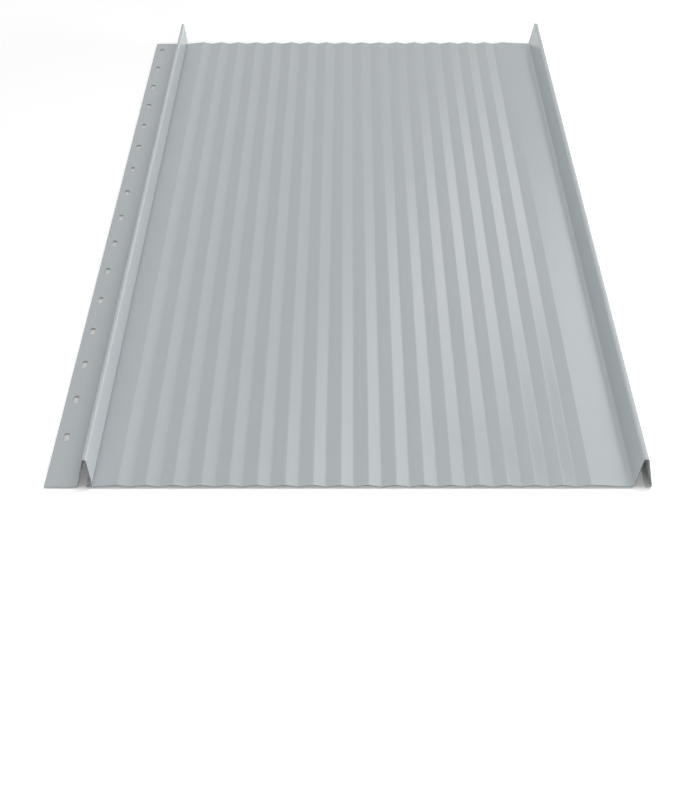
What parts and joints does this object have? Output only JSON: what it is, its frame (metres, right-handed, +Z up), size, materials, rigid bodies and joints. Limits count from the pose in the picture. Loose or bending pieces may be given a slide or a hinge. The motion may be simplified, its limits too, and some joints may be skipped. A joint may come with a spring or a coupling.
{
  "type": "corrugated metal sheet",
  "caption": "Flat-lying roofing sheet of coated steel: a slotted nail strip, a male rib, a pan of fine zigzag waves and a female rib that snaps over the next sheet.",
  "frame": {"origin": "bottom centre of the sheet's box, on the ground that the sheet lies on", "axes": "+Y along the sheet, +Z up through its thickness, +X across it from the nail strip to the female rib"},
  "size_m": [0.5168, 1, 0.029],
  "materials": {
    "coated_steel": "satin light blue-grey polyester coat on galvanised steel, finely grained"
  },
  "bodies": {
    "root": {"corrugated_sheet": "coated_steel"}
  },
  "joints": []
}
